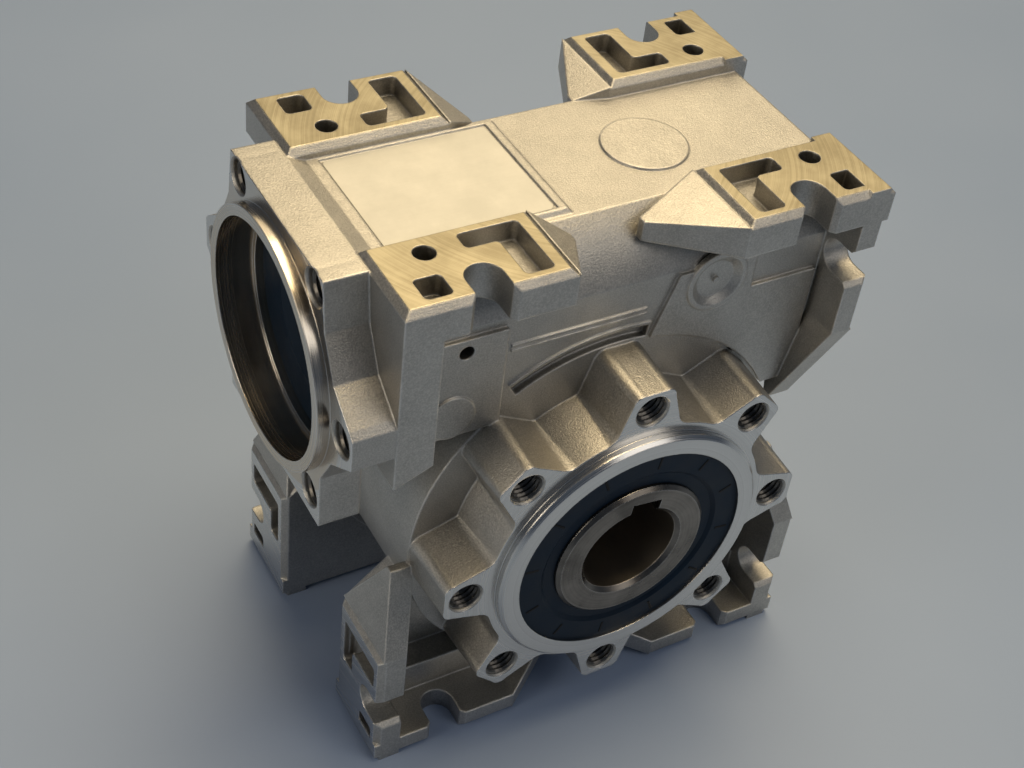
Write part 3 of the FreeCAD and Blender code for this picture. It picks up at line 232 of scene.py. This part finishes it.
def cast_aluminium():
    """Shot-blasted die casting with milled feet and turned flange faces."""
    shader = Shader("cast_aluminium_finish")
    machined = machined_mask(shader)
    feet = shader.above(shader.z, TOP_FEET - SKIN)
    motor_side = shader.below(shader.x, SKIN - SIDE_FEET)
    grain = shader.noise(2600, 3.0, 0.6)
    pits = shader.noise(900, 2.0)
    clouds = shader.noise(34, 4.0)
    stains = shader.noise(190, 4.0, 0.6)
    smears = shader.noise(75, 4.0, 0.6)
    edge_radius = shader.mix_value(machined, 0.8 * MM, 0.4 * MM)
    edges, sharp = shader.rounded_edges(edge_radius, 6)
    # Edges paler partly from wear and partly as a painted highlight along them
    rub_and_glint = shader.times(sharp, shader.spread(stains, 0.36, 0.6, 0.35, 1.0))

    # Blasted skin
    skin_tone = shader.weigh(clouds, 0.6, stains, 0.4)
    cast_colour = shader.ramp(skin_tone, (0.34, CAST_DARK), (0.66, CAST_PALE))
    speckle = shader.times(shader.spread(grain, 0.4, 0.66), 0.42)
    cast_colour = shader.mix_colour(speckle, cast_colour, CAST_SPECKLE)

    # Turned faces, with an oily film in the motor mouth that is partly a painted warm reflection,
    # and milled feet
    turned_marks = shader.mix_value(
        motor_side, shader.tool_marks("Y"), shader.tool_marks("X", WORM_HEIGHT))
    milled_marks = shader.tool_marks("Z", fine=6500)
    turned_colour = shader.ramp(turned_marks, (0.3, TURNED_DARK), (0.7, TURNED_PALE))
    mouth = shader.times(shader.below(shader.x, MOTOR_MOUTH_FLOOR),
                         shader.below(round_worm(shader), MOTOR_MOUTH_RADIUS))
    # Oil film and painted warm reflection, in cloudy patches over the motor mouth
    oil_and_reflection = shader.times(mouth, shader.spread(clouds, 0.35, 0.65, 0.25, 0.8))
    turned_colour = shader.mix_colour(oil_and_reflection, turned_colour, OIL_AND_WARM_REFLECTION)
    milled_tone = shader.weigh(milled_marks, 0.5, smears, 0.5)
    milled_colour = shader.ramp(milled_tone, (0.4, MILLED_DARK), (0.6, MILLED_PALE))

    # All of them together, with edges paler from wear and painted highlight, and painted shade in
    # the hollows
    machined_colour = shader.mix_colour(feet, turned_colour, milled_colour)
    colour = shader.mix_colour(machined, cast_colour, machined_colour)
    # Painted highlight and wear: pale colour along the edges
    colour = shader.mix_colour(shader.times(rub_and_glint, 0.8), colour, WEAR_AND_HIGHLIGHT_PALE)
    # Painted shade: darker towards this colour where ambient occlusion finds a hollow
    open_share = shader.add(
        "ShaderNodeAmbientOcclusion", {"Distance": 7 * MM}, samples=8).outputs["AO"]
    colour = shader.mix_colour(shader.spread(open_share, 0.1, 0.65, 0.65, 0.0), colour, PAINTED_HOLLOW_SHADE)

    marks = shader.mix_value(feet, turned_marks, milled_marks)
    machined_rough = shader.mix_value(feet, shader.from_noise(marks, *TURNED_ROUGH),
                                      shader.from_noise(marks, *MILLED_ROUGH))
    roughness = shader.mix_value(machined, shader.from_noise(grain, *CAST_ROUGH), machined_rough)
    skin_height = shader.weigh(grain, 0.8, pits, 0.3)
    height = shader.mix_value(machined, skin_height, shader.times(marks, 0.1))
    normal = shader.bump(height, 0.15 * MM, 0.9, edges)
    return shader.finish(Base_Color=colour, Metallic=1.0, Roughness=roughness, Normal=normal)


def turned_steel(name, dark, pale, axis, rough=STEEL_ROUGH, height=0.0, bore=0.0):
    """Turned or ground steel with fine circular tool marks, faint stains, and edges made paler
    partly by wear and partly as a painted highlight.

    Inside the bore's radius, where one is given, it is duller, and paler as painted light.
    """
    shader = Shader(name)
    marks = shader.tool_marks(axis, height, 2200)
    stains = shader.noise(110, 5.0)
    tone = shader.weigh(marks, 0.3, stains, 0.7)
    colour = shader.ramp(tone, (0.35, dark), (0.65, pale))
    roughness = shader.from_noise(stains, *rough)
    edges, sharp = shader.rounded_edges(0.25 * MM, 4)
    # Painted highlight and wear: pale colour along the edges
    colour = shader.mix_colour(shader.times(sharp, 0.6), colour, WEAR_AND_HIGHLIGHT_PALE)
    if bore:
        inside = shader.below(shader.distance(shader.x, shader.z), bore)
        # Painted light: the bore's wall is paler than the rest of the shaft
        colour = shader.mix_colour(inside, colour, BORE_PAINTED_LIGHT)
        roughness = shader.mix_value(inside, roughness, BORE_ROUGH)
    normal = shader.bump(marks, 0.015 * MM, 0.5, edges)
    return shader.finish(Base_Color=colour, Metallic=1.0, Roughness=roughness, Normal=normal)


def rubber(name, dark, pale):
    """Moulded rubber with a fine sheen and a dusty bloom."""
    shader = Shader(name)
    bloom = shader.noise(140, 4.0)
    grain = shader.noise(2400, 2.0)
    colour = shader.ramp(bloom, (0.35, dark), (0.75, pale))
    roughness = shader.from_noise(bloom, *RUBBER_ROUGH)
    normal = shader.bump(grain, 0.05 * MM, 0.5)
    return shader.finish(Base_Color=colour, Roughness=roughness, Normal=normal,
                         Specular_IOR_Level=0.22)


def foil():
    """Bare silver foil of the blank plate, faintly brushed and scuffed."""
    shader = Shader("blank_foil")
    brushed = shader.add("ShaderNodeMapping", {"Vector": shader.place, "Scale": (40, 2200, 40)})
    lines = shader.noise(1.0, 3.0, place=brushed.outputs[0])
    scuffs = shader.noise(90, 5.0, 0.65)
    colour = shader.ramp(scuffs, (0.35, (0.58, 0.57, 0.52)), (0.7, (0.67, 0.655, 0.6)))
    roughness = shader.from_noise(lines, *FOIL_ROUGH)
    normal = shader.bump(lines, 0.02 * MM, 0.4)
    return shader.finish(Base_Color=colour, Metallic=0.35, Roughness=roughness, Normal=normal)


def floor_paint():
    """Plain pale paint with faint clouds."""
    shader = Shader("floor_paint")
    clouds = shader.noise(6, 3.0)
    colour = shader.ramp(clouds, (0.3, (0.25, 0.33, 0.5)), (0.7, (0.27, 0.35, 0.52)))
    roughness = shader.from_noise(clouds, *FLOOR_ROUGH)
    return shader.finish(Base_Color=colour, Roughness=roughness)


FINISHES = {
    "cast_aluminium": cast_aluminium(),
    "shaft_steel": turned_steel(
        "shaft_steel_finish", (0.1, 0.09, 0.08), (0.26, 0.238, 0.212), "Y",
        bore=SHAFT_BORE_RADIUS),
    "worm_steel": turned_steel(
        "worm_steel_finish", (0.12, 0.115, 0.11), (0.3, 0.29, 0.28), "X", height=WORM_HEIGHT),
    "bearing_steel": turned_steel(
        "bearing_steel_finish", (0.5, 0.5, 0.5), (0.68, 0.68, 0.69), "Y", (0.1, 0.2)),
    "cage_steel": turned_steel(
        "cage_steel_finish", (0.36, 0.35, 0.33), (0.52, 0.51, 0.49), "Y", (0.3, 0.45)),
    "dark_steel": turned_steel(
        "dark_steel_finish", (0.035, 0.035, 0.037), (0.1, 0.1, 0.1), "Y", (0.3, 0.5)),
    "bronze": turned_steel(
        "bronze_finish", (0.45, 0.27, 0.12), (0.68, 0.45, 0.22), "Y", (0.22, 0.4)),
    "seal_rubber": rubber(
        "seal_rubber_finish", (0.001, 0.009, 0.022), (0.003, 0.015, 0.034)),
    "black_rubber": rubber(
        "black_rubber_finish", (0.01, 0.01, 0.01), (0.03, 0.029, 0.028)),
}
# Dark steel on the thread ridges: painted shade for the inside of the flange holes
THREAD_PAINTED_SHADE = turned_steel(
    "thread_painted_shade_finish", (0.07, 0.065, 0.06), (0.2, 0.19, 0.175), "Y", (0.26, 0.4))
RIB_FINISH = rubber("seal_rib_finish", (0.001, 0.001, 0.001), (0.003, 0.003, 0.003))

slot_of = {entry["node"]: entry["material_slot"] for entry in frame["record"]["subparts"]}
for node_name, node_object in frame["nodes"].items():
    node_object.data.materials.clear()
    node_object.data.materials.append(FINISHES[slot_of[node_name]])


# New pieces, all of them on the housing

def new_piece(name, vertices, faces, material):
    mesh = bpy.data.meshes.new(name)
    mesh.from_pydata(vertices, [], faces)
    mesh.validate()
    mesh.update()
    mesh.materials.append(material)
    piece = bpy.data.objects.new(name, mesh)
    scene.collection.objects.link(piece)
    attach(piece, "housing")


# Threads in the flange holes
THREAD_RADIUS = 4.0 * MM
THREAD_PITCH = 1.25 * MM
THREAD_RISE = 0.6 * MM
THREAD_HALF_WIDTH = 0.46 * THREAD_PITCH
THREAD_STEPS = 24
THREAD_START = 0.75
THREAD_TURNS_LESS = 1.5
OUTPUT_HOLES = 8
OUTPUT_HOLE_CIRCLE = 42.5 * MM
OUTPUT_HOLE_DEPTH = 13 * MM
MOTOR_HOLE_ANGLES = (35, 90, 145, 215, 270, 325)
MOTOR_HOLE_CIRCLE = 35 * MM
MOTOR_HOLE_DEPTH = 9 * MM


def thread_coil(mouth, inward, depth):
    """Vertices and faces of one thread ridge that winds into a hole from its mouth."""
    inward = Vector(inward)
    side = inward.orthogonal().normalized()
    other = inward.cross(side)
    half = inward * THREAD_HALF_WIDTH
    vertices, faces = [], []
    count = int(THREAD_STEPS * (depth / THREAD_PITCH - THREAD_TURNS_LESS))
    for index in range(count + 1):
        angle = 2 * math.pi * index / THREAD_STEPS
        out = side * math.cos(angle) + other * math.sin(angle)
        middle = Vector(mouth) + inward * THREAD_PITCH * (THREAD_START + index / THREAD_STEPS)
        foot, crest = out * THREAD_RADIUS, out * (THREAD_RADIUS - THREAD_RISE)
        vertices += [middle - half + foot, middle + crest, middle + half + foot]
    for index in range(count):
        low, high = 3 * index, 3 * index + 3
        for first, second in ((0, 1), (1, 2), (2, 0)):
            faces.append((low + first, low + second, high + second, high + first))
    faces += [(2, 1, 0), (3 * count, 3 * count + 1, 3 * count + 2)]
    return vertices, faces


def thread_group(name, mouths, inward, depth):
    """One piece with a thread ridge in each hole of a flange."""
    vertices, faces = [], []
    for mouth in mouths:
        coil, coil_faces = thread_coil(mouth, inward, depth)
        start = len(vertices)
        vertices += coil
        faces += [tuple(start + index for index in face) for face in coil_faces]
    new_piece(name, vertices, faces, THREAD_PAINTED_SHADE)


def circle_spots(radius, angles):
    """Spots on a circle, as sideways and upward offsets; angle zero is at the top."""
    return [(radius * math.sin(angle), radius * math.cos(angle)) for angle in angles]


output_spots = circle_spots(
    OUTPUT_HOLE_CIRCLE, [2 * math.pi * index / OUTPUT_HOLES for index in range(OUTPUT_HOLES)])
motor_spots = circle_spots(
    MOTOR_HOLE_CIRCLE, [math.radians(angle) for angle in MOTOR_HOLE_ANGLES])
thread_group("front_flange_threads", [(x, -FLANGE_PLANE, z) for x, z in output_spots],
             (0, 1, 0), OUTPUT_HOLE_DEPTH)
thread_group("rear_flange_threads", [(x, FLANGE_PLANE, z) for x, z in output_spots],
             (0, -1, 0), OUTPUT_HOLE_DEPTH)
thread_group("motor_flange_threads", [(MOTOR_FACE, y, WORM_HEIGHT + z) for y, z in motor_spots],
             (1, 0, 0), MOTOR_HOLE_DEPTH)


# Blank plate on the top, in millimetres; each ring has an inset and a height
PLATE_LEFT, PLATE_RIGHT = -52.6, -12.8
PLATE_HALF_WIDTH = 16.4
PLATE_CORNER = 1.4
PLATE_RINGS = ((0.0, 80.5), (0.0, 80.6), (0.1, 80.66))
CORNER_STEPS = 6


def rounded_corners(low_x, high_x, low_y, high_y, radius):
    """Spots round a rectangle with rounded corners."""
    corners = (
        (high_x - radius, high_y - radius, 0), (low_x + radius, high_y - radius, 90),
        (low_x + radius, low_y + radius, 180), (high_x - radius, low_y + radius, 270))
    spots = []
    for x, y, start in corners:
        for step in range(CORNER_STEPS + 1):
            angle = math.radians(start + 90 * step / CORNER_STEPS)
            spots.append((x + radius * math.cos(angle), y + radius * math.sin(angle)))
    return spots


def blank_plate():
    rings = []
    for inset, height in PLATE_RINGS:
        spots = rounded_corners(
            (PLATE_LEFT + inset) * MM, (PLATE_RIGHT - inset) * MM,
            (inset - PLATE_HALF_WIDTH) * MM, (PLATE_HALF_WIDTH - inset) * MM, PLATE_CORNER * MM)
        rings.append([(x, y, height * MM) for x, y in spots])
    count = len(rings[0])
    vertices = [spot for ring in rings for spot in ring]
    faces = [tuple(reversed(range(count))), tuple(range(2 * count, 3 * count))]
    for level in range(2):
        low, high = level * count, (level + 1) * count
        for index in range(count):
            after = (index + 1) % count
            faces.append((low + index, low + after, high + after, high + index))
    new_piece("blank_plate", vertices, faces, foil())


blank_plate()


# Short moulded ribs on the faces of the output seals, in millimetres and degrees
RIB_COUNT = 12
RIB_FIRST_ANGLE = 8
RIB_RADII = (25.4, 28.8)
RIB_LEVELS = ((48.18, 0.35), (48.34, 0.22))
RIB_FACES = ((0, 1, 3, 2), (4, 6, 7, 5), (0, 4, 5, 1), (2, 3, 7, 6), (0, 2, 6, 4), (1, 5, 7, 3))


def seal_ribs(name, side):
    """Ribs on one seal; each level has a height along the shaft and half a width."""
    vertices, faces = [], []
    for index in range(RIB_COUNT):
        angle = math.radians(360 / RIB_COUNT * index + RIB_FIRST_ANGLE)
        out = Vector((math.sin(angle), 0, math.cos(angle)))
        along = Vector((math.cos(angle), 0, -math.sin(angle)))
        start = len(vertices)
        for level, half in RIB_LEVELS:
            for radius in RIB_RADII:
                for way in (-1, 1):
                    spot = out * radius + along * half * way
                    vertices.append((spot.x * MM, side * level * MM, spot.z * MM))
        faces += [tuple(start + corner for corner in face) for face in RIB_FACES]
    new_piece(name, vertices, faces, RIB_FINISH)


seal_ribs("front_seal_ribs", -1)
seal_ribs("rear_seal_ribs", 1)


# Floor
FLOOR_REACH = 3
floor_mesh = bpy.data.meshes.new("floor")
floor_mesh.from_pydata(
    [(-FLOOR_REACH, -FLOOR_REACH, BASE), (FLOOR_REACH, -FLOOR_REACH, BASE),
     (FLOOR_REACH, FLOOR_REACH, BASE), (-FLOOR_REACH, FLOOR_REACH, BASE)], [], [(0, 1, 2, 3)])
floor_mesh.materials.append(floor_paint())
floor = bpy.data.objects.new("floor", floor_mesh)
scene.collection.objects.link(floor)


# Lights: four soft discs that face the part, and a dim sky
LIGHT_TARGET = Vector((0, 0, 0.01))
SKY_COLOUR = rgba(0.5, 0.63, 0.84)
SKY_STRENGTH = 0.11


def area_light(name, direction, distance, size, energy, colour):
    data = bpy.data.lights.new(name, "AREA")
    data.shape = "DISK"
    data.size = size
    data.energy = energy
    data.color = colour
    light = bpy.data.objects.new(name, data)
    away = Vector(direction).normalized() * distance
    light.location = LIGHT_TARGET + away
    light.rotation_euler = away.to_track_quat("Z", "Y").to_euler()
    scene.collection.objects.link(light)


area_light("warm_key", (0.18, 0.13, 0.95), 1.1, 0.9, 12.6, (1.0, 0.79, 0.48))
area_light("back_window", (0.4, 0.66, 0.6), 1.2, 0.9, 2.6, (1.0, 0.82, 0.52))
area_light("soft_fill", (0.36, -0.66, 0.66), 1.2, 0.8, 2.2, (1.0, 0.94, 0.86))
area_light("side_strip", (-0.95, -0.1, 0.42), 1.1, 0.6, 2.8, (1.0, 0.88, 0.7))

world = bpy.data.worlds.new("studio")
world.use_nodes = True
sky = world.node_tree.nodes["Background"]
sky.inputs["Color"].default_value = SKY_COLOUR
sky.inputs["Strength"].default_value = SKY_STRENGTH
scene.world = world


# Camera at the photograph's angle
AZIMUTH, ELEVATION, ROLL = (math.radians(angle) for angle in (-33.577, 41.774, 7.576))
LENS = 58.36
SENSOR_WIDTH = 36
CAMERA_RIGHT, CAMERA_UP, CAMERA_BACK = -4.792 * MM, 8.742 * MM, 421.349 * MM
back = Vector((math.sin(AZIMUTH) * math.cos(ELEVATION),
               -math.cos(AZIMUTH) * math.cos(ELEVATION), math.sin(ELEVATION)))
level_right = Vector((0, 0, 1)).cross(back).normalized()
level_up = back.cross(level_right)
right = level_right * math.cos(ROLL) + level_up * math.sin(ROLL)
up = level_up * math.cos(ROLL) - level_right * math.sin(ROLL)
camera_data = bpy.data.cameras.new("camera")
camera_data.sensor_fit = "HORIZONTAL"
camera_data.sensor_width = SENSOR_WIDTH
camera_data.lens = LENS
camera_data.clip_start = 0.01
camera = bpy.data.objects.new("camera", camera_data)
camera_place = right * CAMERA_RIGHT + up * CAMERA_UP + back * CAMERA_BACK
camera_turn = Matrix((right, up, back)).transposed().to_4x4()
camera.matrix_world = Matrix.Translation(camera_place) @ camera_turn
scene.collection.objects.link(camera)
scene.camera = camera

scene.view_settings.view_transform = "Standard"
